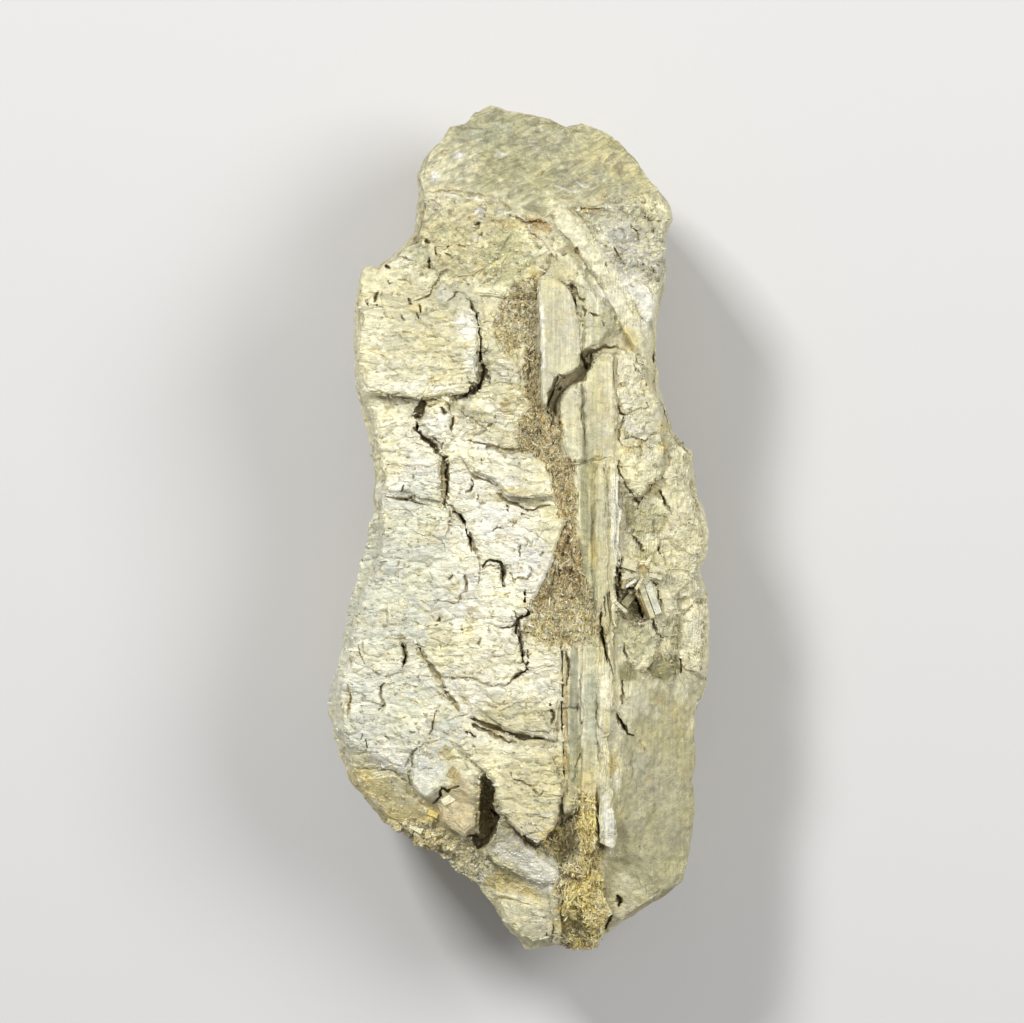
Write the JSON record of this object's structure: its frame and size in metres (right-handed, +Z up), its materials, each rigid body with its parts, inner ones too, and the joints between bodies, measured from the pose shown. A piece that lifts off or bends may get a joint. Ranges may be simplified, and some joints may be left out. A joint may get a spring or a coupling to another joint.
{
  "type": "pyrite specimen",
  "caption": "Splintery piece of fibrous pyrite with layered plates, blades, cracks and crystal crusts, lying on its flat back.",
  "frame": {"origin": "under the middle of the stone, on the surface that it rests on", "axes": "+Y along the grain towards the sloping broken top, +X across the grain, +Z up from the flat back to the plated front"},
  "size_m": [0.0328, 0.0722, 0.024],
  "materials": {
    "pyrite": "satin"
  },
  "bodies": {
    "root": {"pyrite_specimen": "pyrite"}
  },
  "joints": []
}
